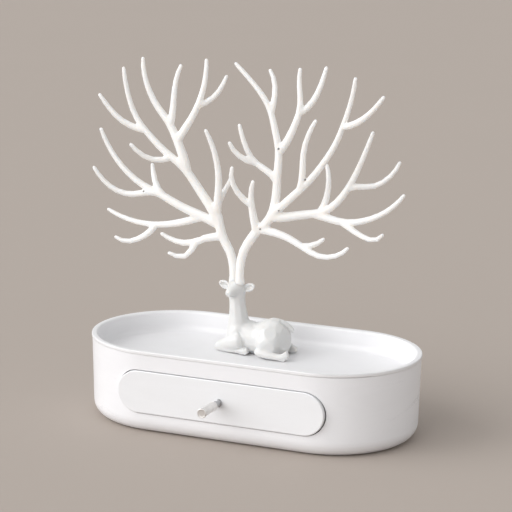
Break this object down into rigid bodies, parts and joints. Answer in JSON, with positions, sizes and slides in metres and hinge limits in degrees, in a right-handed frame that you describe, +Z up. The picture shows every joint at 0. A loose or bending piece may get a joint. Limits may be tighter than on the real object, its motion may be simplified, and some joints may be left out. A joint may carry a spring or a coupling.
{
  "type": "jewelry stand with drawer",
  "caption": "Oval jewelry stand with a sliding drawer, an open tray on top and a lying deer whose branching antlers hang jewelry.",
  "frame": {"origin": "middle of the flat underside, on the surface that the stand rests on", "axes": "+Z up, +X along the box to its right end seen from the drawer, -Y towards the drawer front"},
  "size_m": [0.2779, 0.164, 0.2764],
  "materials": {
    "shell_plastic": "smooth moulded, soft gloss",
    "tray_plastic": "smooth moulded, glossy",
    "drawer_plastic": "smooth moulded, soft gloss",
    "deer_plastic": "smooth moulded, glossy",
    "antler_plastic": "smooth moulded, soft gloss",
    "knob_satin": "satin turned",
    "knob_chrome": "polished",
    "screw_steel": "zinc plated",
    "pad_foam": "soft foam",
    "guide_plastic": "moulded, matt"
  },
  "bodies": {
    "stand": {"housing": "shell_plastic", "tray": "tray_plastic", "guide_left": "guide_plastic", "guide_right": "guide_plastic", "drawer_stop": "guide_plastic", "tray_screws": "screw_steel", "guide_screws": "screw_steel", "drawer_stop_screws": "screw_steel", "deer_washers": "screw_steel", "deer_screws": "screw_steel", "foot_pads": "pad_foam", "rear_bumpers": "pad_foam", "deer_body": "deer_plastic", "antler_left": "antler_plastic", "antler_right": "antler_plastic"},
    "drawer": {"drawer_front": "drawer_plastic", "drawer_box": "guide_plastic", "drawer_front_screws": "screw_steel", "knob_stem": "knob_chrome", "knob_grip": "knob_satin", "knob_screw": "screw_steel", "knob_washer": "screw_steel"}
  },
  "joints": [
    {"name": "drawer_slide", "type": "slide", "parent": "stand", "child": "drawer", "axis": [0, -1, 0], "range_m": [0, 0.078]}
  ]
}
